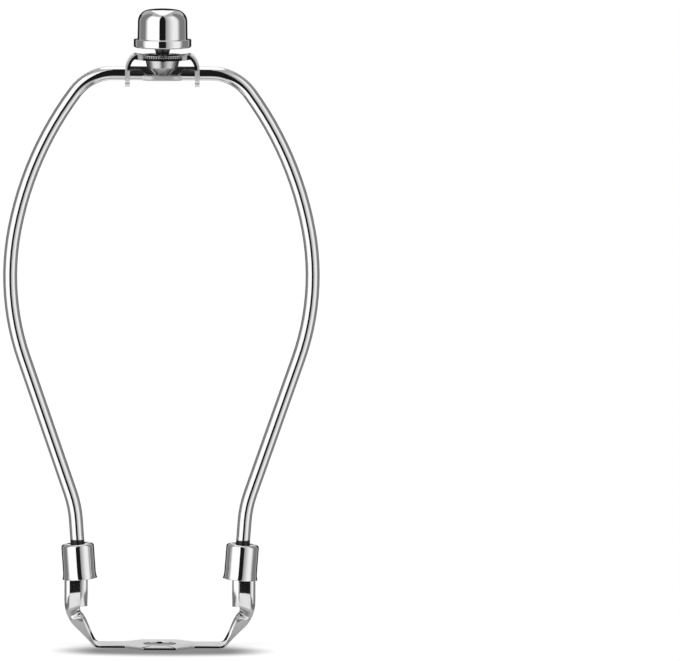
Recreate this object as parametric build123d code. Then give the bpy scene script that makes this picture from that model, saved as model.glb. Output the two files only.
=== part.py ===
from build123d import *
import os
from math import acos, atan2, cos, degrees, exp, hypot, pi, radians, sin, sqrt, tan

# Lamp harp with a detachable bow, in millimetres.
# +Z is up and +X runs along the bow's width. The origin is the middle of the
# saddle's underside, on the axis of the lamp's pipe.

# Whole object
harp_height = 203.2              # saddle underside to shade rest, a nominal eight inch harp

# Bow wire
wire_dia = 4.76                  # three sixteenths of an inch
bow_half_width = 51.7            # wire axis at the widest point
belly_rise_angle = 10.6          # belly arc above the widest point
shoulder_radius = 114.8
shoulder_angle = 25.9
corner_radius = 15.9
leg_length = 49.1                # straight run between the belly and the knee
knee_radius = 36.1
knee_x = 28.9                    # wire axis where the knee runs out into the straight end
knee_z = 43.4
end_lean = 4.1                   # straight ends lean in towards the foot

# Pressed middle of the wire, under the shade bracket
press_length = 11.0
press_thickness = 1.9
press_slope = 42.0               # shoulders of the press mark, from the vertical
press_rib = 1.6                  # left standing between the two marks, round the dish
tongue_length = 13.8             # metal that the press pushes out in front and behind
tongue_width = 7.4
tongue_edge_round = 0.65

# Flattened ends of the wire, which sit in the saddle's channels
foot_z = 13.7                    # square cut end
foot_thickness = 3.4
foot_width = 5.7
foot_x = 27.6                    # the flattened part stands upright here
foot_top_z = 29.8
round_end_z = 33.2               # full round section above here

# Saddle, one piece of stamped sheet
saddle_sheet = 0.8
pipe_hole_dia = 11.1             # slips over an eighth inch lamp pipe
plate_half = 11.8                # flats of the eight sided middle
plate_corner = 5.65              # half length of its front flat
strip_width = 12.7
arm_flat_half = 20.7             # the arms start to bend up here
arm_bend_radius = 3.5
arm_slope = 43.0
arm_curve_radius = 12.0
arm_back_half = 32.7             # outer face of the upright channels
channel_lean_z = 22.3            # above this the channel leans with the wire's end
channel_top_z = 28.8
channel_half_depth = 2.7
channel_corner_radius = 2.0
channel_reach = 5.5              # back of the channel to the free edges of its wings
pinch_z = 11.8                   # the wings' edges are pinched together here, under the wire's end
pinch_angle = 24.0
pinch_narrowing = 0.8            # share of the channel's back that the pinch takes in
pinch_corner_drop = 0.25         # share by which the corners tighten there
pinch_spread = 1.3
waist_depth = 1.2                # how far the wings' edges draw back there
waist_spread = 2.4
fold_lead = 1.5                  # power by which the margins turn up ahead of the arm's own bend
wing_lag = 1.2                   # power by which the wings gain their straight part after it
flat_corner_growth = 1.5         # how much wider the fold's corner is where it begins

# Sleeves, drawn cups that lock the wire's ends to the channels
sleeve_dia = 11.2
sleeve_rim_dia = 12.0
sleeve_height = 12.1
sleeve_wall = 0.4
sleeve_flare = 2.6
sleeve_rim_lean = 19.3           # slant of the flare at the open rim
sleeve_corner = 1.0
sleeve_hole_clearance = 0.22
sleeve_rest_z = 23.2             # open rim, on the wire's axis

# Shade bracket, one stamping
bracket_sheet = 1.6
wire_below_rest = 6.3            # shade rest to the wire's axis
disc_dia = 16.6
disc_tooth_pitch = 0.86
disc_tooth_land = 0.4
disc_tooth_depth = 0.3
disc_tooth_height = 0.85
strap_depth = 9.8
strap_rise_angle = 15.0
strap_rise_radius = 9.0
strap_start = 6.5
bend_radius = 1.5                # middle of the sheet
bend_angle = 48.0
ear_curve_radius = 6.0
ear_splay = 0.4
ear_below_wire = 4.56
ear_corner_radius = 4.2
ear_hole_clearance = 0.08
dish_mouth_dia = 12.0
dish_lip = 0.7
dish_knee_dia = 9.0              # inside, where the steep wall turns into the cone
dish_knee_drop = 3.9
dish_floor_dia = 4.2
dish_wall = 0.8

# Finial stud, quarter inch thread
stud_dia = 6.3
stud_height = 9.5                # above the shade rest
stud_neck_top_dia = 5.5
stud_neck_dia = 4.4
stud_collar_dia = 8.0
stud_tenon_dia = 2.8
stud_thread_low = 2.8            # above the shade rest
stud_neck_top = 2.4
stud_neck_bottom = 0.2
stud_collar_top_below = 1.0      # below the shade rest
stud_collar_below = 2.2
stud_collar_edge = 0.6
stud_chamfer = 0.6
seat_clearance = 0.03            # between the stud and what it is riveted through

# Finial, one turned piece
finial_height = 13.3
finial_gap = 2.6                 # backed off above the shade rest
finial_dome_dia = 17.1
finial_dome_top_dia = 16.9
finial_shoulder_radius = 3.2
finial_crown = 1.4               # rise of the domed top above its rim
finial_flange_dia = 19.7
finial_flange_height = 2.9
finial_flange_top_round = 0.35
finial_flange_foot_round = 0.6
finial_bore_depth = 10.2
thread_clearance = 0.07

# Derived places
wire_r = wire_dia / 2
wire_z = harp_height - wire_below_rest
press_top_z = wire_z - wire_r + press_thickness
dish_depth = harp_height - press_top_z
ear_foot_z = wire_z - ear_below_wire
lean = radians(end_lean)
MIRROR = Plane.YZ

# Fineness
arm_stations = 36                # sections along the arm
section_steps = 20               # points along each face of a section
same_place = 0.01                # points closer than this are one


def end_axis_x(z):
    """Place of the straight end's axis at height z, on the right side."""
    return knee_x - (knee_z - z) * tan(lean)


def upright(shape):
    """Carry a sketch drawn in x and height over to the bow's plane."""
    return Plane.XZ * shape


def belly_radius_between(belly_top_z, knee):
    """Radius of the belly that leaves the straight leg its length above the knee's centre."""
    rise = sin(radians(belly_rise_angle))
    across = knee[0] - bow_half_width
    down = knee[1] - belly_top_z
    linear = 2 * (across + down * rise - knee_radius)
    constant = across ** 2 + down ** 2 - knee_radius ** 2 - leg_length ** 2
    return 2 * constant / (-linear + sqrt(linear ** 2 - 4 * rise ** 2 * constant))


def bow_path():
    """Right half of the wire's axis, from the middle of the top to the round end's foot."""
    rise = radians(belly_rise_angle)
    corner = rise + radians(shoulder_angle)
    corner_drop = corner_radius * (1 - sin(corner))
    belly_top_z = wire_z - corner_drop - shoulder_radius * (sin(corner) - sin(rise))
    knee = (knee_x + knee_radius * cos(lean), knee_z - knee_radius * sin(lean))
    belly_radius = belly_radius_between(belly_top_z, knee)
    corner_x = (
        bow_half_width
        - belly_radius * (1 - cos(rise))
        - shoulder_radius * (cos(rise) - cos(corner))
        - corner_radius * cos(corner)
    )
    belly = (bow_half_width - belly_radius, belly_top_z - belly_radius * sin(rise))
    across = (knee[0] - belly[0], knee[1] - belly[1])
    leg_normal = atan2(across[1], across[0]) + acos((belly_radius + knee_radius) / hypot(*across))
    leg_top = (belly[0] + belly_radius * cos(leg_normal), belly[1] + belly_radius * sin(leg_normal))
    leg_foot = (knee[0] - knee_radius * cos(leg_normal), knee[1] - knee_radius * sin(leg_normal))

    top = Line((0, wire_z), (corner_x, wire_z))
    bend = JernArc(top @ 1, top % 1, corner_radius, degrees(corner) - 90)
    shoulder = JernArc(bend @ 1, bend % 1, shoulder_radius, -shoulder_angle)
    flank = JernArc(shoulder @ 1, shoulder % 1, belly_radius, degrees(leg_normal) - belly_rise_angle)
    leg = Line(leg_top, leg_foot)
    turn = JernArc(leg @ 1, leg % 1, knee_radius, -degrees(leg_normal) - end_lean)
    end = Line((knee_x, knee_z), (end_axis_x(round_end_z), round_end_z))
    return [top, bend, shoulder, flank, leg, turn, end]


def wire_foot():
    """Flattened right end of the wire, lofted from the round section down to the square cut."""
    start = Plane(
        origin=(end_axis_x(round_end_z), 0, round_end_z),
        x_dir=(cos(lean), 0, -sin(lean)),
        z_dir=(-sin(lean), 0, -cos(lean)),
    )
    flat = Ellipse(foot_width / 2, foot_thickness / 2)
    top_x = (foot_x + end_axis_x(foot_top_z)) / 2
    top = Plane(origin=(top_x, 0, foot_top_z), z_dir=(0, 0, -1), x_dir=(1, 0, 0))
    seat = Plane(origin=(foot_x, 0, sleeve_rest_z), z_dir=(0, 0, -1), x_dir=(1, 0, 0))
    cut = Plane(origin=(foot_x, 0, foot_z), z_dir=(0, 0, -1), x_dir=(1, 0, 0))
    taper = loft([start * Circle(wire_r), top * flat, seat * flat])
    return taper + loft([seat * flat, cut * flat])


def pressed_middle():
    """Flat tongue left by the press, a little wider than the wire."""
    half = tongue_length / 2
    side = tongue_width / 2
    face = make_face(Polyline(
        (-half, -wire_r), (-half / 2, -side), (half / 2, -side), (half, -wire_r),
        (half, wire_r), (half / 2, side), (-half / 2, side), (-half, wire_r), close=True,
    ))
    sides = face.vertices().filter_by(lambda v: abs(abs(v.Y) - side) < same_place)
    face = fillet(sides, half / 2)
    tongue = Pos(0, 0, wire_z - wire_r) * extrude(face, press_thickness)
    return fillet(tongue.edges().filter_by(Axis.Z, reverse=True), tongue_edge_round)


def press_marks():
    """What the press takes out of the round wire, in front of the rib and behind it."""
    half = press_length / 2
    rise = wire_dia
    reach = half + rise * tan(radians(press_slope))
    face = make_face(Polyline(
        (-half, press_top_z), (half, press_top_z), (reach, press_top_z + rise), (-reach, press_top_z + rise),
        close=True,
    ))
    rib = Pos(0, 0, wire_z) * Box(2 * reach, press_rib, 2 * wire_dia)
    return extrude(upright(face), tongue_width, both=True) - rib


def harp_wire():
    """The bent wire, with its middle pressed flat and pierced and its ends flattened."""
    right = upright(Wire(bow_path()))
    path = Wire(right.edges() + right.mirror(MIRROR).edges())
    start = path @ 0
    section = Plane(origin=start, z_dir=path % 0) * Circle(wire_r)
    round_wire = sweep(section, path)
    foot = wire_foot()
    wire = round_wire - press_marks() - dish_body(seat_clearance)
    wire = wire + pressed_middle() + foot + foot.mirror(MIRROR)
    return wire - Pos(0, 0, wire_z) * Cylinder(stud_tenon_dia / 2 + seat_clearance, wire_dia * 2)


def arm_runs():
    """Lengths of the arm's outer face: bend, slope, curve, upright and leaning stretch."""
    slope = radians(arm_slope)
    bend = arm_bend_radius * slope
    bend_width = arm_bend_radius * sin(slope)
    curve_width = arm_curve_radius * (1 - sin(slope))
    sloping = (arm_back_half - arm_flat_half - bend_width - curve_width) / cos(slope)
    curve = arm_curve_radius * (pi / 2 - slope)
    bend_rise = arm_bend_radius * (1 - cos(slope))
    curve_top_z = bend_rise + sloping * sin(slope) + arm_curve_radius * cos(slope)
    leaning = (channel_top_z - channel_lean_z) / cos(lean)
    return bend, sloping, curve, channel_lean_z - curve_top_z, leaning


def spine_point(travel):
    """Outer face of the arm after a travel from the flat: x, z and heading above the flat."""
    bend, sloping, curve, upright_run, _ = arm_runs()
    radii = [(arm_bend_radius, bend), (None, sloping), (arm_curve_radius, curve), (None, upright_run)]
    x, z, heading = arm_flat_half, 0.0, 0.0
    for radius, length in radii:
        step = min(travel, length)
        if radius:
            turned = heading + step / radius
            x += radius * (sin(turned) - sin(heading))
            z += radius * (cos(heading) - cos(turned))
            heading = turned
        else:
            x += step * cos(heading)
            z += step * sin(heading)
        travel -= step
    if travel > 0:
        heading += lean
        x += travel * cos(heading)
        z += travel * sin(heading)
    return x, z, heading


def arm_section(x, z, heading, folded, pinch, waist):
    """Section of the arm across its length: a strip whose margins fold up into two wings.

    folded runs from 0, a flat strip, to 1, the full channel. pinch closes the wings and
    waist shortens them.
    """
    corner = channel_corner_radius - saddle_sheet / 2
    full_wing = channel_reach - channel_corner_radius
    full_strip = channel_half_depth - channel_corner_radius + corner * pi / 2 + full_wing
    half_strip = strip_width / 2 + (full_strip - strip_width / 2) * folded
    fold = pi / 2 * (1 - (1 - folded) ** fold_lead) + radians(pinch_angle) * pinch
    radius = corner * (1 + flat_corner_growth * (1 - folded)) * (1 - pinch_corner_drop * pinch)
    wing = full_wing * folded ** wing_lag - waist_depth * waist
    base = (half_strip - radius * fold - full_wing * folded ** wing_lag) * (1 - pinch_narrowing * pinch)
    face_half = base + radius * fold + wing

    def face_point(along, side):
        """Point of one face of the sheet, at a developed distance from its middle line."""
        beyond = min(max(abs(along) - base, 0), radius * fold)
        turn = beyond / radius
        straight = max(abs(along) - base - radius * fold, 0)
        across = radius - side * saddle_sheet / 2
        u = min(abs(along), base) + across * sin(turn) + straight * cos(turn)
        v = saddle_sheet / 2 + radius - across * cos(turn) + straight * sin(turn)
        return (u if along > 0 else -u), v

    shares = [i / section_steps for i in range(section_steps + 1)]
    places = [face_half * (2 * share - 1) for share in shares]
    outer = [Vector(*face_point(place, -1)) for place in places]
    inner = [Vector(*face_point(place, 1)) for place in reversed(places)]
    plane = Plane(origin=(x, 0, z), x_dir=(0, 1, 0), z_dir=(cos(heading), 0, sin(heading)))
    return plane * Wire([
        Edge.make_spline(outer, parameters=shares),
        Edge.make_line(outer[-1], inner[0]),
        Edge.make_spline(inner, parameters=shares),
        Edge.make_line(inner[-1], outer[0]),
    ])


def saddle_arm():
    """Right arm: folds up from the flat strip into the upright channel."""
    runs = arm_runs()
    folding_run = sum(runs[:3])
    sections = []
    for i in range(arm_stations + 1):
        travel = sum(runs) * i / arm_stations
        x, z, heading = spine_point(travel)
        folded = min(travel / folding_run, 1)
        edge_z = z + channel_reach * folded * cos(heading)
        pinch = exp(-((edge_z - pinch_z) / pinch_spread) ** 2)
        waist = exp(-((edge_z - pinch_z) / waist_spread) ** 2)
        sections.append(arm_section(x, z, heading, folded, pinch, waist))
    return Solid.make_loft(sections)


def saddle():
    """Stamped saddle: an eight sided plate with the pipe hole, a strip, and two folded arms."""
    side, joint, corner = plate_half, strip_width / 2, plate_corner
    plate = make_face(Polyline(
        (side, -joint), (side, joint), (corner, side), (-corner, side),
        (-side, joint), (-side, -joint), (-corner, -side), (corner, -side), close=True,
    ))
    flat = plate + Rectangle(2 * arm_flat_half, strip_width)
    arm = saddle_arm()
    body = extrude(flat, saddle_sheet) + arm + arm.mirror(MIRROR)
    return body - Cylinder(pipe_hole_dia / 2, 4 * saddle_sheet)


def sleeve():
    """Right sleeve: a drawn cup with a hole for the wire, its open rim slightly flared."""
    r, rim, height, wall = sleeve_dia / 2, sleeve_rim_dia / 2, sleeve_height, sleeve_wall
    hole = wire_r + sleeve_hole_clearance
    inner_corner = sleeve_corner - wall
    slant = tan(radians(sleeve_rim_lean))
    outline = [
        Line((hole, height), (r - sleeve_corner, height)),
        JernArc((r - sleeve_corner, height), (1, 0), sleeve_corner, -90),
        Line((r, height - sleeve_corner), (r, sleeve_flare)),
        Spline((r, sleeve_flare), (rim, 0), tangents=((0, -1), (slant, -1))),
        Line((rim, 0), (rim - wall, 0)),
        Spline((rim - wall, 0), (r - wall, sleeve_flare), tangents=((-slant, 1), (0, 1))),
        Line((r - wall, sleeve_flare), (r - wall, height - sleeve_corner)),
        JernArc((r - wall, height - sleeve_corner), (0, 1), inner_corner, 90),
        Line((r - sleeve_corner, height - wall), (hole, height - wall)),
        Line((hole, height - wall), (hole, height)),
    ]
    cup = revolve(upright(make_face(Wire(outline))), Axis.Z)
    return Location((end_axis_x(sleeve_rest_z), 0, sleeve_rest_z), (0, end_lean, 0)) * cup


def strap_line():
    """Middle of the bracket's sheet from the disc over the right shoulder to the ear's foot."""
    start = (strap_start, harp_height - bracket_sheet / 2)
    rise = JernArc(start, (1, 0), strap_rise_radius, strap_rise_angle)
    bend = JernArc(rise @ 1, rise % 1, bend_radius, -strap_rise_angle - bend_angle)
    curve = JernArc(bend @ 1, bend % 1, ear_curve_radius, bend_angle + ear_splay - 90)
    drop = (curve @ 1).Y - ear_foot_z
    foot = ((curve @ 1).X + drop * tan(radians(ear_splay)), ear_foot_z)
    return Line((0, harp_height - bracket_sheet / 2), start), rise, bend, curve, Line(curve @ 1, foot)


def dish_hollow():
    """Right half of the dish's inside, from a little above the shade rest down to its floor."""
    mouth = dish_mouth_dia / 2
    above = dish_lip / 2
    floor = dish_depth - dish_wall
    return make_face(Polyline(
        (0, above), (mouth, above), (mouth, 0), (mouth - dish_lip, -above),
        (dish_knee_dia / 2, -dish_knee_drop), (dish_floor_dia / 2, -floor), (0, -floor), close=True,
    ))


def dish_body(clearance=0.0):
    """Solid bowl under the disc, as deep as the dish with its wall, grown by a clearance."""
    grown = offset(dish_hollow(), dish_wall + clearance)
    reach = disc_dia
    half = grown & Pos(reach / 2, -reach / 2) * Rectangle(reach, reach)
    return Pos(0, 0, harp_height) * revolve(upright(half), Axis.Z)


def disc_notches():
    """Fine V notches round the free arcs of the disc's upper edge."""
    radius = disc_dia / 2
    free = degrees(acos(strap_depth / 2 / radius))
    step = degrees(disc_tooth_pitch / radius)
    count = int(free / step)
    mouth = disc_tooth_pitch - disc_tooth_land
    beyond = radius + disc_tooth_depth
    notch_face = make_face(Polyline(
        (radius - disc_tooth_depth, 0), (beyond, -mouth), (beyond, mouth), close=True,
    ))
    notch = Pos(0, 0, harp_height - disc_tooth_height) * extrude(notch_face, 2 * disc_tooth_height)
    turns = [side * 90 + step * i for side in (-1, 1) for i in range(-count, count + 1)]
    return [Rot(0, 0, turn) * notch for turn in turns]


def shade_bracket():
    """Stamped bracket: toothed disc with a dish for the stud, and two ears that hold the wire."""
    strap = extrude(upright(trace(strap_line(), bracket_sheet)), strap_depth / 2, both=True)
    side_height = harp_height + strap_depth - ear_foot_z
    side = Pos(0, ear_foot_z + side_height / 2) * Rectangle(strap_depth, side_height)
    side = fillet(side.vertices().group_by(Axis.Y)[0], ear_corner_radius)
    strap = strap & extrude(Plane.YZ * side, 2 * bow_half_width)
    disc = Pos(0, 0, harp_height - bracket_sheet / 2) * Cylinder(disc_dia / 2, bracket_sheet)
    hollow = Pos(0, 0, harp_height) * revolve(upright(dish_hollow()), Axis.Z)
    body = strap + strap.mirror(MIRROR) + disc + dish_body() - hollow - disc_notches()
    hole = Pos(0, 0, wire_z) * Rot(0, 90, 0) * Cylinder(wire_r + ear_hole_clearance, 4 * strap_depth)
    ears = hole - Pos(0, 0, wire_z) * Box(2 * strap_start, strap_depth, strap_depth)
    return body - ears - Pos(0, 0, press_top_z) * Cylinder(stud_tenon_dia / 2 + seat_clearance, 4 * dish_wall)


def finial_stud():
    """Stud with a conical foot in the dish and a tenon spread under the pressed wire."""
    floor = dish_depth - dish_wall
    tenon = stud_tenon_dia / 2
    foot_drop = harp_height - (wire_z - wire_r)
    collar = stud_collar_dia / 2
    collar_foot = stud_collar_below + stud_collar_edge
    floor_r = dish_floor_dia / 2 - seat_clearance
    face = make_face(Polyline(
        (0, -foot_drop), (tenon, -foot_drop), (tenon, -floor), (floor_r, -floor), (collar, -collar_foot),
        (collar, -stud_collar_below), (stud_neck_dia / 2, -stud_collar_top_below),
        (stud_neck_dia / 2, stud_neck_bottom), (stud_neck_top_dia / 2, stud_neck_top),
        (stud_dia / 2, stud_thread_low), (stud_dia / 2, stud_height - stud_chamfer),
        (stud_dia / 2 - stud_chamfer, stud_height), (0, stud_height), close=True,
    ))
    return Pos(0, 0, harp_height) * revolve(upright(face), Axis.Z)


def finial():
    """Turned knob with a flange that presses on the shade and a blind threaded hole."""
    flange = finial_flange_dia / 2
    foot = finial_dome_dia / 2
    top = finial_dome_top_dia / 2
    crown_rim = finial_height - finial_crown
    crown_radius = (top ** 2 + finial_crown ** 2) / (2 * finial_crown)
    side = Polyline(
        (0, finial_height), (0, 0), (flange, 0), (flange, finial_flange_height),
        (foot, finial_flange_height), (top, crown_rim),
    )
    crown = RadiusArc((0, finial_height), (top, crown_rim), crown_radius)
    base = make_face(side + crown)
    rim = base.vertices().filter_by(lambda v: v.X > flange - same_place)
    base = fillet(rim.sort_by(Axis.Y)[0], finial_flange_foot_round)
    base = fillet(base.vertices().filter_by(
        lambda v: v.X > flange - same_place and v.Y > finial_flange_height - same_place,
    ), finial_flange_top_round)
    shoulder = base.vertices().filter_by(lambda v: abs(v.Y - crown_rim) < same_place)
    base = fillet(shoulder, finial_shoulder_radius)
    bore = Pos(0, 0, finial_bore_depth / 2) * Cylinder(stud_dia / 2 + thread_clearance, finial_bore_depth)
    return Pos(0, 0, harp_height + finial_gap) * (revolve(upright(base), Axis.Z) - bore)


def main():
    right_sleeve = sleeve()
    pieces = {
        "saddle": saddle(),
        "harp_wire": harp_wire(),
        "sleeve_left": right_sleeve.mirror(MIRROR),
        "sleeve_right": right_sleeve,
        "shade_bracket": shade_bracket(),
        "finial_stud": finial_stud(),
        "finial": finial(),
    }
    os.makedirs("parts", exist_ok=True)
    for name, piece in pieces.items():
        export_step(piece, f"parts/{name}.step")


main()
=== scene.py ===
from math import atan2, cos, exp, hypot, pi, radians, sin, tan

import bmesh
import bpy
from mathutils import Matrix, Vector


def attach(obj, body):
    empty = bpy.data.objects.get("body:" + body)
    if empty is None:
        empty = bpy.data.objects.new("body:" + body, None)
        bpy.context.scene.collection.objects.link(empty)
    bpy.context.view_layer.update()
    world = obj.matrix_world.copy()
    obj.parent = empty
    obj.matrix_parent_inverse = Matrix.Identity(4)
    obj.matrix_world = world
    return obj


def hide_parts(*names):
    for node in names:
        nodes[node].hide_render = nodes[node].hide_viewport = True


# Looks of a chromed lamp harp. Lengths are in millimetres, and MM turns them into metres.
MM = 0.001

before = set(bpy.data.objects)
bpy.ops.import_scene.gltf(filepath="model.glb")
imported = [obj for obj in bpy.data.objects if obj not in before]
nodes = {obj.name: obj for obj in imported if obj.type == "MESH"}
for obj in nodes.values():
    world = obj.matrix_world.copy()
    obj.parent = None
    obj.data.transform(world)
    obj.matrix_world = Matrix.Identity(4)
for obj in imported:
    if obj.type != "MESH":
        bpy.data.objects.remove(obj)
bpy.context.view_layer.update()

# Sizes that the finer shapes share with the model
rest_z = 203.2                   # shade rest
end_lean = 4.1
knee_x, knee_z = 28.9, 43.4
sleeve_rest_z = 23.2
wire_r = 2.38
finial_gap = 2.6                 # backed off above the shade rest
strip_half = 6.35
arm_flat_half = 20.7             # the arms start to bend up here
arm_slope = 43.0
arm_bend_radius = 3.5
arm_curve_radius = 12.0
arm_back_half = 32.7
channel_lean_z = 22.3
channel_top_z = 28.8
channel_half_depth = 2.7
channel_corner_radius = 2.0
channel_reach = 5.5              # back of the channel to its free edges
pinch_z = 11.8                   # the free edges are pinched together here
LEAN = radians(end_lean)


# Node helpers

def new_material(name):
    """Empty material and its node tree, with the principled shader kept."""
    material = bpy.data.materials.new(name)
    material.use_nodes = True
    return material, material.node_tree, material.node_tree.nodes["Principled BSDF"]


def math(tree, operation, first, second=None):
    """Math node between sockets or numbers."""
    node = tree.nodes.new("ShaderNodeMath")
    node.operation = operation
    for socket, value in zip(node.inputs, (first, second)):
        if isinstance(value, (int, float)):
            socket.default_value = value
        elif value is not None:
            tree.links.new(value, socket)
    return node.outputs[0]


def step(tree, value, start, end):
    """Smooth step from 0 at start to 1 at end."""
    node = tree.nodes.new("ShaderNodeMapRange")
    node.interpolation_type = "SMOOTHSTEP"
    low, high = min(start, end), max(start, end)
    node.inputs["From Min"].default_value = low
    node.inputs["From Max"].default_value = high
    node.inputs["To Min"].default_value = 0.0 if start < end else 1.0
    node.inputs["To Max"].default_value = 1.0 if start < end else 0.0
    tree.links.new(value, node.inputs["Value"])
    return node.outputs["Result"]


def product(tree, *factors):
    """Product of masks."""
    result = factors[0]
    for factor in factors[1:]:
        result = math(tree, "MULTIPLY", result, factor)
    return result


def distance(tree, across, up):
    """Length of the slant between two directions."""
    squares = [math(tree, "MULTIPLY", side, side) for side in (across, up)]
    return math(tree, "SQRT", math(tree, "ADD", *squares))


def blend_colour(tree, factor, first, second):
    """Colour that goes from first to second with the factor. Either may be a socket or a grey level."""
    node = tree.nodes.new("ShaderNodeMix")
    node.data_type = "RGBA"
    tree.links.new(factor, node.inputs["Factor"])
    for name, value in (("A", first), ("B", second)):
        if isinstance(value, tuple):
            node.inputs[name].default_value = (*value, 1)
        else:
            tree.links.new(value, node.inputs[name])
    return node.outputs["Result"]


def blend_value(tree, factor, first, second):
    """Number that goes from first to second with the factor. Either may be a socket."""
    node = tree.nodes.new("ShaderNodeMix")
    tree.links.new(factor, node.inputs["Factor"])
    for name, value in (("A", first), ("B", second)):
        if isinstance(value, float):
            node.inputs[name].default_value = value
        else:
            tree.links.new(value, node.inputs[name])
    return node.outputs["Result"]


def parts_of(tree, socket):
    """The three numbers of a vector."""
    node = tree.nodes.new("ShaderNodeSeparateXYZ")
    tree.links.new(socket, node.inputs["Vector"])
    return node.outputs


# Materials

def plated(name, colour, roughness, painted_shade_and_marks=None, edge_round=0.0):
    """Bright plating with a faint cloud in tint and gloss and fine hairlines. The shade callback adds
    painted shade and darker, duller places.
    """
    material, tree, shader = new_material(name)
    shader.inputs["Metallic"].default_value = 1.0
    place = tree.nodes.new("ShaderNodeTexCoord").outputs["Object"]

    cloud = tree.nodes.new("ShaderNodeTexNoise")
    cloud.inputs["Scale"].default_value = 140.0
    cloud.inputs["Detail"].default_value = 4.0
    tree.links.new(place, cloud.inputs["Vector"])
    tint = blend_colour(tree, cloud.outputs["Fac"], colour, tuple(c * 0.95 for c in colour))
    gloss = blend_value(tree, cloud.outputs["Fac"], roughness * 0.6, roughness * 1.4)

    stretch = tree.nodes.new("ShaderNodeMapping")
    stretch.inputs["Scale"].default_value = (3200.0, 3200.0, 160.0)
    tree.links.new(place, stretch.inputs["Vector"])
    hair = tree.nodes.new("ShaderNodeTexNoise")
    hair.inputs["Scale"].default_value = 1.0
    hair.inputs["Detail"].default_value = 2.0
    tree.links.new(stretch.outputs["Vector"], hair.inputs["Vector"])
    bump = tree.nodes.new("ShaderNodeBump")
    bump.inputs["Strength"].default_value = 0.06
    bump.inputs["Distance"].default_value = 0.01 * MM
    tree.links.new(hair.outputs["Fac"], bump.inputs["Height"])
    if edge_round:
        rounded = tree.nodes.new("ShaderNodeBevel")
        rounded.samples = 8
        rounded.inputs["Radius"].default_value = edge_round * MM
        tree.links.new(rounded.outputs["Normal"], bump.inputs["Normal"])
    tree.links.new(bump.outputs["Normal"], shader.inputs["Normal"])

    if painted_shade_and_marks:
        scaled = tree.nodes.new("ShaderNodeVectorMath")
        scaled.operation = "SCALE"
        scaled.inputs["Scale"].default_value = 1 / MM
        tree.links.new(place, scaled.inputs[0])
        facing = tree.nodes.new("ShaderNodeNewGeometry").outputs["Normal"]
        x, y, z = parts_of(tree, scaled.outputs["Vector"])
        nx, ny, nz = parts_of(tree, facing)
        tint, gloss = painted_shade_and_marks(tree, tint, gloss, (x, y, z), (nx, ny, nz))
    tree.links.new(tint, shader.inputs["Base Color"])
    tree.links.new(gloss, shader.inputs["Roughness"])
    return material


def bracket_painted_shade_and_finish(tree, tint, gloss, at, facing):
    """Bracket: painted shade as a dark dish round the stud, in the gaps between the rim's teeth and above
    and below them, and as a dark crescent on the sheared edges; the teeth's faces mid grey and the belly
    grey and duller.
    """
    x, y, z = at
    _, ny, nz = facing
    wide = math(tree, "ABSOLUTE", x)
    ring = distance(tree, x, y)
    drop = math(tree, "SUBTRACT", rest_z, z)

    # Painted shade: the dish round the stud goes near black.
    painted_dish_shade = product(
        tree,
        step(tree, ring, 6.2, 5.9),
        step(tree, nz, 0.0, 0.1),
        step(tree, drop, 0.0, 0.4),
    )
    tint = blend_colour(tree, painted_dish_shade, tint, (0.03, 0.03, 0.03))
    gloss = blend_value(tree, painted_dish_shade, gloss, 0.4)

    # The rim's teeth faces go mid grey; the rest of the rim, between the teeth and above and below them,
    # is painted near black as shade.
    rim = product(
        tree,
        step(tree, ring, 7.85, 7.95),
        step(tree, wide, 6.75, 6.65),
        step(tree, drop, 0.1, 0.16),
    )
    land = product(
        tree,
        step(tree, ring, 8.16, 8.24),
        step(tree, drop, 0.78, 0.68),
        step(tree, drop, 0.28, 0.34),
    )
    painted_rim_shade = product(tree, rim, math(tree, "SUBTRACT", 1.0, land))
    tint = blend_colour(tree, rim, tint, (0.5, 0.5, 0.5))
    tint = blend_colour(tree, painted_rim_shade, tint, (0.018, 0.018, 0.019))
    gloss = blend_value(tree, rim, gloss, 0.45)

    edge = product(tree, step(tree, math(tree, "ABSOLUTE", ny), 0.8, 0.95), step(tree, wide, 5.9, 6.3))
    bend_x, bend_z = 5.83, 198.2
    from_bend = distance(tree, math(tree, "SUBTRACT", wide, bend_x), math(tree, "SUBTRACT", z, bend_z))
    # Painted shade: a dark crescent on the ears' sheared edges.
    painted_crescent_shade = product(
        tree,
        edge,
        step(tree, from_bend, 6.3, 6.1),
        step(tree, z, 197.8, 198.6),
        step(tree, wide, 8.2, 8.5),
    )
    gloss = blend_value(tree, edge, gloss, 0.5)
    tint = blend_colour(tree, painted_crescent_shade, tint, (0.02, 0.02, 0.021))

    belly = product(
        tree,
        step(tree, ring, 6.9, 6.7),
        step(tree, nz, 0.1, 0.0),
        step(tree, drop, 1.7, 2.0),
    )
    tint = blend_colour(tree, belly, tint, (0.62, 0.62, 0.625))
    return tint, blend_value(tree, belly, gloss, 0.3)


def stud_marks(tree, tint, gloss, at, facing):
    """Stud: darker and duller than the other pieces."""
    dull = step(tree, at[2], 190.0, 190.5)
    return blend_colour(tree, dull, tint, (0.3, 0.3, 0.31)), blend_value(tree, dull, gloss, 0.3)


def saddle_painted_edge_reflection(tree, tint, gloss, at, facing):
    """Saddle: painted dark reflection on the front edges of the plate and the strip."""
    # Painted reflection: the front edge faces go near black.
    edge = product(
        tree, step(tree, facing[1], -0.975, -0.99), step(tree, at[2], 0.95, 0.85))
    return blend_colour(tree, edge, tint, (0.03, 0.03, 0.03)), blend_value(tree, edge, gloss, 0.3)


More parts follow.
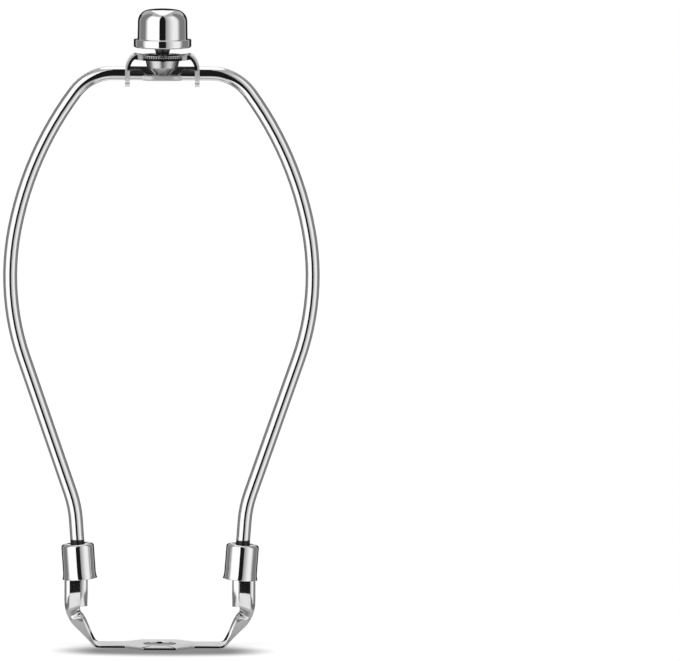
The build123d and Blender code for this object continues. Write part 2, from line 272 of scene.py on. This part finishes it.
def wire_painted_shade_and_finish(tree, tint, gloss, at, facing):
    """Wire: painted shade as dark rings above the sleeves and as darker tone under the bracket, and dull
    tongues.
    """
    x, y, z = at
    wide = math(tree, "ABSOLUTE", x)
    # Painted shade: a dark ring on the wire where it leaves each sleeve's top.
    ring = product(tree, step(tree, z, 36.9, 36.5), step(tree, z, 34.0, 34.3))
    tint = blend_colour(tree, ring, tint, (0.04, 0.04, 0.04))
    gloss = blend_value(tree, ring, gloss, 0.3)

    # Painted shade: the wire darker where it runs under the bracket.
    shaded = product(tree, step(tree, wide, 11.7, 11.2), step(tree, z, 196.6, 197.4))
    tint = blend_colour(tree, shaded, tint, (0.13, 0.13, 0.135))
    gloss = blend_value(tree, shaded, gloss, 0.3)
    tongue = product(
        tree,
        step(tree, math(tree, "ABSOLUTE", y), 2.35, 2.45),
        step(tree, wide, 7.2, 7.0),
        step(tree, z, 190.0, 190.5),
    )
    tint = blend_colour(tree, tongue, tint, (0.66, 0.66, 0.665))
    return tint, blend_value(tree, tongue, gloss, 0.5)


CHROME = (0.82, 0.82, 0.825)
looks = {
    "saddle": plated("saddle_plating", CHROME, 0.06, saddle_painted_edge_reflection),
    "harp_wire": plated("wire_plating", CHROME, 0.05, wire_painted_shade_and_finish, 0.12),
    "sleeve_left": plated("sleeve_plating", CHROME, 0.04),
    "sleeve_right": plated("sleeve_plating_right", CHROME, 0.04),
    "shade_bracket": plated("bracket_plating", CHROME, 0.06, bracket_painted_shade_and_finish, 0.06),
    "finial_stud": plated("stud_plating", (0.6, 0.6, 0.61), 0.15, stud_marks),
    "finial": plated("finial_plating", CHROME, 0.035),
}
for name, node in nodes.items():
    node.data.materials.clear()
    node.data.materials.append(looks[name])


# Finer shapes that stand for the CAD pieces

def piece(name, verts, faces, node, body, smooth=True):
    """Shown mesh from points in millimetres, standing for a CAD node."""
    mesh = bpy.data.meshes.new(name)
    mesh.from_pydata([tuple(c * MM for c in v) for v in verts], [], faces)
    mesh.update()
    if smooth:
        mesh.shade_smooth()
    mesh.materials.append(looks[node])
    obj = bpy.data.objects.new(name, mesh)
    bpy.context.scene.collection.objects.link(obj)
    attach(obj, body)
    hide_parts(node)
    return obj


def arc(centre, radius, start, end, count):
    """Points of an arc in a profile, angles in degrees."""
    angles = [radians(start + (end - start) * i / count) for i in range(count + 1)]
    return [(centre[0] + radius * cos(a), centre[1] + radius * sin(a)) for a in angles]


def lathe(profile, steps):
    """Closed profile of (radius, height) points turned about the upright axis."""
    count = len(profile)
    verts = [
        (r * cos(2 * pi * i / steps), r * sin(2 * pi * i / steps), z)
        for i in range(steps) for r, z in profile
    ]
    faces = []
    for i in range(steps):
        for j in range(count):
            k, n = (j + 1) % count, ((i + 1) % steps) * count
            faces.append((i * count + j, n + j, n + k, i * count + k))
    return verts, faces


def sleeve_profile():
    """Outline of the drawn cup, counter-clockwise from the hole's upper edge."""
    r, rim, height, wall, flare, corner = 5.6, 6.0, 12.1, 0.4, 2.6, 1.0
    hole, nose, lip = wire_r + 0.22, 0.12, 0.15

    def flared(share, inset):
        """Radius of the flare, which curves out towards the open rim."""
        return r - inset + (rim - r) * (0.72 * share ** 2 + 0.28 * share ** 3)

    points = arc((hole + nose, height - nose), nose, 180, 90, 4)
    points += arc((r - corner, height - corner), corner, 90, 0, 14)
    points += [(r, height - corner - (height - corner - flare) * i / 10) for i in range(1, 10)]
    points += [(flared(i / 12, 0), flare * (1 - i / 12)) for i in range(0, 12)]
    points += arc((rim - lip, lip), lip, 0, -90, 4)
    points += arc((rim - wall + lip, lip), lip, -90, -180, 4)
    points += [(flared(1 - i / 12, wall), flare * i / 12) for i in range(1, 12)]
    points += arc((r - corner, height - corner), corner - wall, 0, 90, 6)
    points += arc((hole + nose, height - wall + nose), nose, -90, -180, 4)
    return points


def sleeves():
    """Both sleeves, turned smooth, in place on the leaning ends of the wire."""
    verts, faces = lathe(sleeve_profile(), 160)
    axis_x = knee_x - (knee_z - sleeve_rest_z) * tan(LEAN)
    for side, name in ((1, "sleeve_right"), (-1, "sleeve_left")):
        foot = Matrix.Translation((side * axis_x, 0, sleeve_rest_z))
        place = foot @ Matrix.Rotation(side * LEAN, 4, "Y")
        placed = [place @ Vector(v) for v in verts]
        piece(name + "_turned", placed, faces, name, name)


def finial():
    """Turned knob: flange, dome with a full shoulder and a slight crown, and the blind bore."""
    height, flange, flange_height, foot, top = 13.3, 9.85, 2.9, 8.55, 8.45
    shoulder, crown_radius = 4.1, 32.0
    bore, bore_depth, tip = 3.22, 10.2, 0.02
    lean_in = 7.9
    shoulder_x = top - shoulder
    edge = shoulder_x + shoulder * cos(radians(90 - lean_in))
    shoulder_z = height - edge ** 2 / (2 * crown_radius) - shoulder * sin(radians(90 - lean_in))
    points = arc((flange - 0.6, 0.6), 0.6, -90, 0, 6)
    points += arc((flange - 0.35, flange_height - 0.35), 0.35, 0, 90, 5)
    points += [(foot + 0.15, flange_height)]
    points += arc((foot + 0.15, flange_height + 0.15), 0.15, -90, -180, 3)[1:]
    rise = shoulder_z - flange_height - 0.15
    points += [(foot + (top - foot) * i / 12, flange_height + 0.15 + rise * i / 12) for i in range(1, 12)]
    points += arc((shoulder_x, shoulder_z), shoulder, 0, 90 - lean_in, 28)
    crown = [edge + (tip - edge) * i / 14 for i in range(1, 15)]
    points += [(r, height - r ** 2 / (2 * crown_radius)) for r in crown]
    points += [(tip, bore_depth + 0.5), (bore, bore_depth), (bore, 0.3), (bore + 0.3, 0.0)]
    verts, faces = lathe(points, 192)
    verts = [(x, y, z + rest_z + finial_gap) for x, y, z in verts]
    obj = piece("finial_turned", verts, faces, "finial", "finial")
    smooth_by_angle(obj, 40)


def arm_runs():
    """Lengths of the arm's outer face: bend, slope, curve, upright and leaning stretch."""
    slope = radians(arm_slope)
    bend = arm_bend_radius * slope
    bend_width = arm_bend_radius * sin(slope)
    curve_width = arm_curve_radius * (1 - sin(slope))
    sloping = (arm_back_half - arm_flat_half - bend_width - curve_width) / cos(slope)
    curve = arm_curve_radius * (pi / 2 - slope)
    bend_rise = arm_bend_radius * (1 - cos(slope))
    curve_top_z = bend_rise + sloping * sin(slope) + arm_curve_radius * cos(slope)
    leaning = (channel_top_z - channel_lean_z) / cos(LEAN)
    return bend, sloping, curve, channel_lean_z - curve_top_z, leaning


def spine(travel, runs):
    """Outer face of the arm after a travel from the flat: x, z and heading above the flat."""
    x, z, heading = arm_flat_half, 0.0, 0.0
    radii = (arm_bend_radius, None, arm_curve_radius, None)
    for radius, length in zip(radii, runs):
        go = min(travel, length)
        if radius:
            turned = heading + go / radius
            x += radius * (sin(turned) - sin(heading))
            z += radius * (cos(heading) - cos(turned))
            heading = turned
        else:
            x += go * cos(heading)
            z += go * sin(heading)
        travel -= go
    if travel > 0:
        heading += LEAN
        x += travel * cos(heading)
        z += travel * sin(heading)
    return x, z, heading


def arm_section(folded, pinch, waist, sheet, nose):
    """Outline of the arm's section: across and out from its outer face, with rounded free edges."""
    corner = channel_corner_radius - sheet / 2
    full_wing = channel_reach - channel_corner_radius
    full_strip = channel_half_depth - channel_corner_radius + corner * pi / 2 + full_wing
    half_strip = strip_half + (full_strip - strip_half) * folded
    fold = pi / 2 * (1 - (1 - folded) ** 0.75) + radians(16.0) * pinch
    radius = corner * (1 + 2.5 * (1 - folded)) * (1 - 0.25 * pinch)
    straight = full_wing * folded ** 0.6 + 1.3 * sin(pi * folded)
    wing = straight - 0.8 * waist
    base = (half_strip - radius * fold - straight) * (1 - 0.8 * pinch)
    half = base + radius * fold + wing

    def at(along, side):
        """Point of the sheet at a developed distance from its middle and a share of its thickness."""
        beyond = min(max(abs(along) - base, 0), radius * fold)
        turn = beyond / radius
        rest = max(abs(along) - base - radius * fold, 0)
        across = radius - side * sheet / 2
        u = min(abs(along), base) + across * sin(turn) + rest * cos(turn)
        v = sheet / 2 + radius - across * cos(turn) + rest * sin(turn)
        return (u if along > 0 else -u), v

    steps = 64
    loop = [at((half - nose) * (2 * i / steps - 1), -1) for i in range(steps + 1)]
    turns = [radians(90 * i / 5) for i in range(1, 6)]
    loop += [at(half - nose + nose * sin(t), -1 + 2 * nose / sheet * (1 - cos(t))) for t in turns]
    loop += [at(half - nose + nose * cos(t), 1 - 2 * nose / sheet * (1 - sin(t))) for t in turns]
    loop += [at((half - nose) * (1 - 2 * i / steps), 1) for i in range(1, steps + 1)]
    loop += [at(-half + nose - nose * sin(t), 1 - 2 * nose / sheet * (1 - cos(t))) for t in turns]
    loop += [at(-half + nose - nose * cos(t), -1 + 2 * nose / sheet * (1 - sin(t))) for t in turns[:-1]]
    return loop


def saddle_arm(sheet, nose):
    """Right arm as a fine closed grid."""
    runs = arm_runs()
    folding_run = 0.8 * sum(runs[:3])
    stations = 150
    rings = []
    for i in range(stations + 1):
        travel = sum(runs) * i / stations
        x, z, heading = spine(travel, runs)
        folded = min(travel / folding_run, 1)
        edge_z = z + channel_reach * folded * cos(heading)
        above = min(max((19.0 - edge_z) / 5.5, 0), 1) if edge_z > pinch_z else 0
        spread = 1.1 if edge_z > pinch_z else 0.5
        pinch = exp(-((edge_z - pinch_z) / spread) ** 2) + 0.14 * above ** 2 * (3 - 2 * above)
        waist = exp(-((edge_z - pinch_z) / 1.8) ** 2)
        loop = arm_section(folded, pinch, waist, sheet, nose)
        rings.append([(x - v * sin(heading), u, z + v * cos(heading)) for u, v in loop])
    count = len(rings[0])
    verts = [p for ring in rings for p in ring]
    faces = []
    for i in range(stations):
        for j in range(count):
            k = (j + 1) % count
            faces.append((i * count + j, i * count + k, (i + 1) * count + k, (i + 1) * count + j))
    last = stations * count
    half = count // 2
    for j in range(half - 1):
        faces.append((last + j, last + j + 1, last + count - 2 - j, last + count - 1 - j))
    return verts, faces


def saddle():
    """Stamped saddle: plate with the pipe hole, its strip, and both folded arms."""
    sheet, nose, flat_half, joint = 0.8, 0.1, arm_flat_half, strip_half
    side, corner, hole = 11.8, 5.65, 5.55
    outline = [(flat_half, -joint), (flat_half, joint), (side, joint)]
    outline += [(corner, side), (-corner, side), (-side, joint)]
    outline += [(-x, -y) for x, y in outline]
    corners = sorted(set(round(atan2(y, x), 9) for x, y in outline))
    angles = sorted(set(corners) | set(round(2 * pi * i / 144 - pi, 9) for i in range(144)))

    def reach(angle):
        """Distance of the outline from the middle, at an angle."""
        u, v = abs(cos(angle)), abs(sin(angle))
        slant = (side - corner, side - joint)
        best = min(flat_half / u if u else 1e9, joint / v if v else 1e9)
        t_square = min(side / u if u else 1e9, side / v if v else 1e9)
        t_slant = (corner * slant[1] + side * slant[0]) / (u * slant[1] + v * slant[0])
        return max(best, min(t_square, t_slant))

    work = bmesh.new()
    rings = []
    for z in (sheet, 0.0):
        for radius in (None, hole):
            rings.append([
                work.verts.new((
                    (radius or reach(a)) * cos(a) * MM, (radius or reach(a)) * sin(a) * MM, z * MM,
                )) for a in angles
            ])
    top_out, top_in, low_out, low_in = rings
    count = len(angles)
    for i in range(count):
        k = (i + 1) % count
        work.faces.new((top_in[i], top_out[i], top_out[k], top_in[k]))
        work.faces.new((low_out[i], low_in[i], low_in[k], low_out[k]))
        work.faces.new((top_out[i], low_out[i], low_out[k], top_out[k]))
        work.faces.new((low_in[i], top_in[i], top_in[k], low_in[k]))
    work.normal_update()
    upright = [
        e for e in work.edges
        if e.calc_face_angle(0) > radians(20) and abs(e.verts[0].co.z - e.verts[1].co.z) > sheet / 2 * MM
        and abs(e.verts[0].co.x) < (flat_half - 0.01) * MM and e.is_convex
    ]
    bmesh.ops.bevel(work, geom=upright, offset=0.8 * MM, segments=5, profile=0.5, affect="EDGES")
    work.normal_update()
    sharp = [
        e for e in work.edges
        if e.calc_face_angle(0) > radians(25)
        and min(abs(v.co.x) for v in e.verts) < (flat_half - 0.01) * MM
    ]
    bmesh.ops.bevel(work, geom=sharp, offset=nose * MM, segments=3, profile=0.5, affect="EDGES")
    plate = bpy.data.meshes.new("plate")
    work.to_mesh(plate)
    work.free()
    plate_verts = [tuple(c / MM for c in v.co) for v in plate.vertices]
    plate_faces = [tuple(p.vertices) for p in plate.polygons]

    arm_verts, arm_faces = saddle_arm(sheet, nose)
    verts = plate_verts + arm_verts + [(-x, y, z) for x, y, z in arm_verts]
    first, second = len(plate_verts), len(plate_verts) + len(arm_verts)
    faces = plate_faces + [tuple(v + first for v in f) for f in arm_faces]
    faces += [tuple(v + second for v in reversed(f)) for f in arm_faces]
    obj = piece("saddle_stamped", verts, faces, "saddle", "saddle")
    smooth_by_angle(obj, 50)
    obj.modifiers.new("even", "WEIGHTED_NORMAL").keep_sharp = True


def smooth_by_angle(obj, degrees_between):
    """Keep edges sharper than an angle crisp."""
    work = bmesh.new()
    work.from_mesh(obj.data)
    for edge in work.edges:
        edge.smooth = edge.calc_face_angle(0) < radians(degrees_between)
    work.to_mesh(obj.data)
    work.free()


def stud():
    """Stud with its real helical thread, neck, collar and conical foot."""
    pitch, depth, major = 0.94, 0.5, 3.15
    bottom, top, chamfer = 2.8, 9.5, 0.6
    turns, rows = 96, 150
    verts, faces = [], []
    for j in range(rows + 1):
        z = bottom + (top - bottom) * j / rows
        for i in range(turns):
            phase = (z / pitch - i / turns) % 1.0
            groove = max(0.0, min(1.0, 1.3 - abs(2 * phase - 1) * 2.2))
            fade = min(1.0, max(0.0, (z - bottom) / 0.5))
            limit = major - max(0.0, z - (top - chamfer))
            r = min(major - depth * groove * fade, limit)
            verts.append((r * cos(2 * pi * i / turns), r * sin(2 * pi * i / turns), rest_z + z))
    for j in range(rows):
        for i in range(turns):
            k = (i + 1) % turns
            faces.append((j * turns + i, j * turns + k, (j + 1) * turns + k, (j + 1) * turns + i))
    faces.append(tuple(rows * turns + i for i in range(turns)))
    below = [
        (major, bottom), (2.75, 2.4), (2.2, 0.2), (2.2, -1.0), (4.0, -2.2),
        (4.0, -2.8), (2.07, -5.98), (1.4, -5.98), (1.4, -8.68),
    ]
    fine = []
    for (r0, z0), (r1, z1) in zip(below, below[1:]):
        fine += [(r0 + (r1 - r0) * i / 4, z0 + (z1 - z0) * i / 4) for i in range(4)]
    fine.append(below[-1])
    start = len(verts)
    for r, z in fine[1:]:
        for i in range(turns):
            verts.append((r * cos(2 * pi * i / turns), r * sin(2 * pi * i / turns), rest_z + z))
    previous = 0
    for j in range(len(fine) - 1):
        now = start + j * turns
        for i in range(turns):
            k = (i + 1) % turns
            faces.append((now + i, now + k, previous + k, previous + i))
        previous = now
    faces.append(tuple(previous + i for i in reversed(range(turns))))
    obj = piece("finial_stud_threaded", verts, faces, "finial_stud", "bow")
    smooth_by_angle(obj, 40)


sleeves()
saddle()
stud()
finial()


# Studio

def studio_level(azimuth, elevation):
    """How bright the studio is in one direction. Azimuth 0 is the camera's side."""
    side = abs(azimuth)
    across = sin(radians(azimuth)) * cos(radians(elevation))
    ahead = cos(radians(azimuth)) * cos(radians(elevation))
    if elevation < -40:
        return 0.62
    if elevation > 20 and hypot(across / 0.25, (ahead + 0.32) / 0.6) < 1:
        return 1.25
    slot = min(1.0, (76 - elevation) / 30)
    if -15 * slot < azimuth < 14 * slot:
        return 0.012
    if elevation > 62:
        return 0.5
    if side > 172 and elevation < 6.2:
        return 0.76
    if side > 136:
        return 0.015 if elevation < 22 else 0.5
    if side > 125:
        return 0.42
    if side > 88:
        return 0.24
    panel = 1.25 if azimuth < 0 else 0.35 + 0.7 * min(max(azimuth - 14, 0) / 36, 1)
    if side > 70:
        panel -= (panel - 0.24) * (side - 70) / 18
    return panel + (0.5 - panel) * max(0, elevation - 50) / 12


def surround():
    """Tent of panels and flags round the object, which only reflections and soft light see."""
    radius, middle_z, rim = 3.0, 0.1, 0.15
    azimuth_lines = [-172, -136, -125, -88, -70, -15, 14, 50, 70, 88, 125, 136, 172]
    elevation_lines = [-40, 6.2, 22, 46, 50, 62]
    azimuths = sorted({a + s for a in azimuth_lines for s in (-rim, rim)} | set(range(-180, 181, 2)))
    elevations = sorted({e + s for e in elevation_lines for s in (-rim, rim)} | set(range(-90, 91, 2)))
    verts, levels = [], []
    for a in azimuths:
        for e in elevations:
            u, v = radians(a), radians(e)
            out = radius * cos(v)
            verts.append((out * sin(u), -out * cos(u), middle_z + radius * sin(v)))
            levels.append(studio_level(a, e))
    rows = len(elevations)
    faces = [
        (i * rows + j, i * rows + j + 1, (i + 1) * rows + j + 1, (i + 1) * rows + j)
        for i in range(len(azimuths) - 1) for j in range(rows - 1)
    ]
    mesh = bpy.data.meshes.new("studio_tent")
    mesh.from_pydata(verts, [], faces)
    mesh.attributes.new("level", "FLOAT", "POINT").data.foreach_set("value", levels)
    obj = bpy.data.objects.new("studio_tent", mesh)
    bpy.context.scene.collection.objects.link(obj)
    material = bpy.data.materials.new("studio_tent")
    material.use_nodes = True
    tree = material.node_tree
    tree.nodes.clear()
    glow = tree.nodes.new("ShaderNodeEmission")
    out = tree.nodes.new("ShaderNodeOutputMaterial")
    level = tree.nodes.new("ShaderNodeAttribute")
    level.attribute_name = "level"
    tree.links.new(level.outputs["Fac"], glow.inputs["Strength"])
    tree.links.new(glow.outputs["Emission"], out.inputs["Surface"])
    mesh.materials.append(material)
    obj.visible_camera = False
    obj.visible_shadow = False


def white_world():
    """Even white world, the photo's background."""
    world = bpy.data.worlds.new("white_studio")
    bpy.context.scene.world = world
    world.use_nodes = True
    world.node_tree.nodes["Background"].inputs["Color"].default_value = (1, 1, 1, 1)
    world.node_tree.nodes["Background"].inputs["Strength"].default_value = 1.0


def floor():
    """Small pale floor with a painted soft grey shadow in front of the harp's foot and painted shade under
    the pipe hole.
    """
    radius = 128 * MM
    count = 96
    turns = [2 * pi * i / count for i in range(count)]
    verts = [(radius * cos(a), radius * sin(a), 0) for a in turns]
    mesh = bpy.data.meshes.new("floor")
    mesh.from_pydata(verts, [], [tuple(range(count))])
    obj = bpy.data.objects.new("floor", mesh)
    bpy.context.scene.collection.objects.link(obj)
    obj.location.z = -0.02 * MM
    material = bpy.data.materials.new("floor_white_painted_shadow")
    material.use_nodes = True
    tree = material.node_tree
    tree.nodes.clear()
    out = tree.nodes.new("ShaderNodeOutputMaterial")
    place = tree.nodes.new("ShaderNodeTexCoord").outputs["Object"]
    scaled = tree.nodes.new("ShaderNodeVectorMath")
    scaled.operation = "SCALE"
    scaled.inputs["Scale"].default_value = 1 / MM
    tree.links.new(place, scaled.inputs[0])
    x, y, _ = parts_of(tree, scaled.outputs["Vector"])
    wide = math(tree, "ABSOLUTE", math(tree, "SUBTRACT", x, 1.1))
    narrowing = math(tree, "POWER", math(tree, "DIVIDE", wide, 52.0), 2.0)
    reach = math(tree, "MULTIPLY", math(tree, "SUBTRACT", 1.0, narrowing), 11.9)
    from_middle = math(tree, "ABSOLUTE", math(tree, "ADD", y, 13.4))
    beyond = math(tree, "SUBTRACT", from_middle, reach)
    near = distance(tree, x, y)
    # Painted shadow: a soft grey pool in front of the foot, and a darker patch under the pipe hole.
    painted_shadow = product(tree, step(tree, wide, 42.0, 21.0), step(tree, beyond, 7.0, -7.0))
    painted_shadow = math(tree, "MAXIMUM", painted_shadow, math(tree, "MULTIPLY", step(tree, near, 9.0, 7.5), 0.85))
    paint = tree.nodes.new("ShaderNodeBsdfDiffuse")
    sides = step(tree, wide, 45.0, 75.0)
    shown = blend_value(tree, sides, 0.6, 0.9)
    white = blend_colour(tree, sides, (0.7, 0.7, 0.7), (0.2, 0.2, 0.2))
    tree.links.new(blend_colour(tree, painted_shadow, white, (0.1, 0.1, 0.1)), paint.inputs["Color"])
    bright = product(tree, step(tree, near, 45.0, 80.0), math(tree, "SUBTRACT", 1.0, sides))
    seen = tree.nodes.new("ShaderNodeLightPath").outputs["Is Camera Ray"]
    lit = blend_value(tree, seen, blend_value(tree, bright, 0.05, 0.5), shown)
    glow = tree.nodes.new("ShaderNodeEmission")
    tree.links.new(blend_value(tree, painted_shadow, lit, 0.2), glow.inputs["Strength"])
    both = tree.nodes.new("ShaderNodeAddShader")
    tree.links.new(paint.outputs["BSDF"], both.inputs[0])
    tree.links.new(glow.outputs["Emission"], both.inputs[1])
    tree.links.new(both.outputs["Shader"], out.inputs["Surface"])
    mesh.materials.append(material)


def camera():
    """Long lens in front of the harp, turned a little so that the harp stands left of the middle."""
    harp_px, frame_px, px_per_mm = (161.2, 330.5), (680, 661), 2.924
    roll = 0.36
    distance, height = 4000 * MM, 520 * MM
    data = bpy.data.cameras.new("camera")
    obj = bpy.data.objects.new("camera", data)
    bpy.context.scene.collection.objects.link(obj)
    bpy.context.scene.camera = obj
    obj.location = (0, -distance, height)
    target = Vector(((frame_px[0] / 2 - harp_px[0]) / px_per_mm * MM, 0, 109.0 * MM))
    obj.rotation_mode = "QUATERNION"
    obj.rotation_quaternion = (target - obj.location).to_track_quat("-Z", "Y")
    obj.rotation_quaternion @= Matrix.Rotation(radians(roll), 3, "Z").to_quaternion()
    reach = (target - obj.location).length
    data.sensor_width = 36
    data.lens = data.sensor_width * reach / (frame_px[0] / px_per_mm * MM)
    data.clip_start, data.clip_end = 0.1, 50


surround()
white_world()
floor()
camera()
bpy.context.scene.view_settings.view_transform = "Standard"
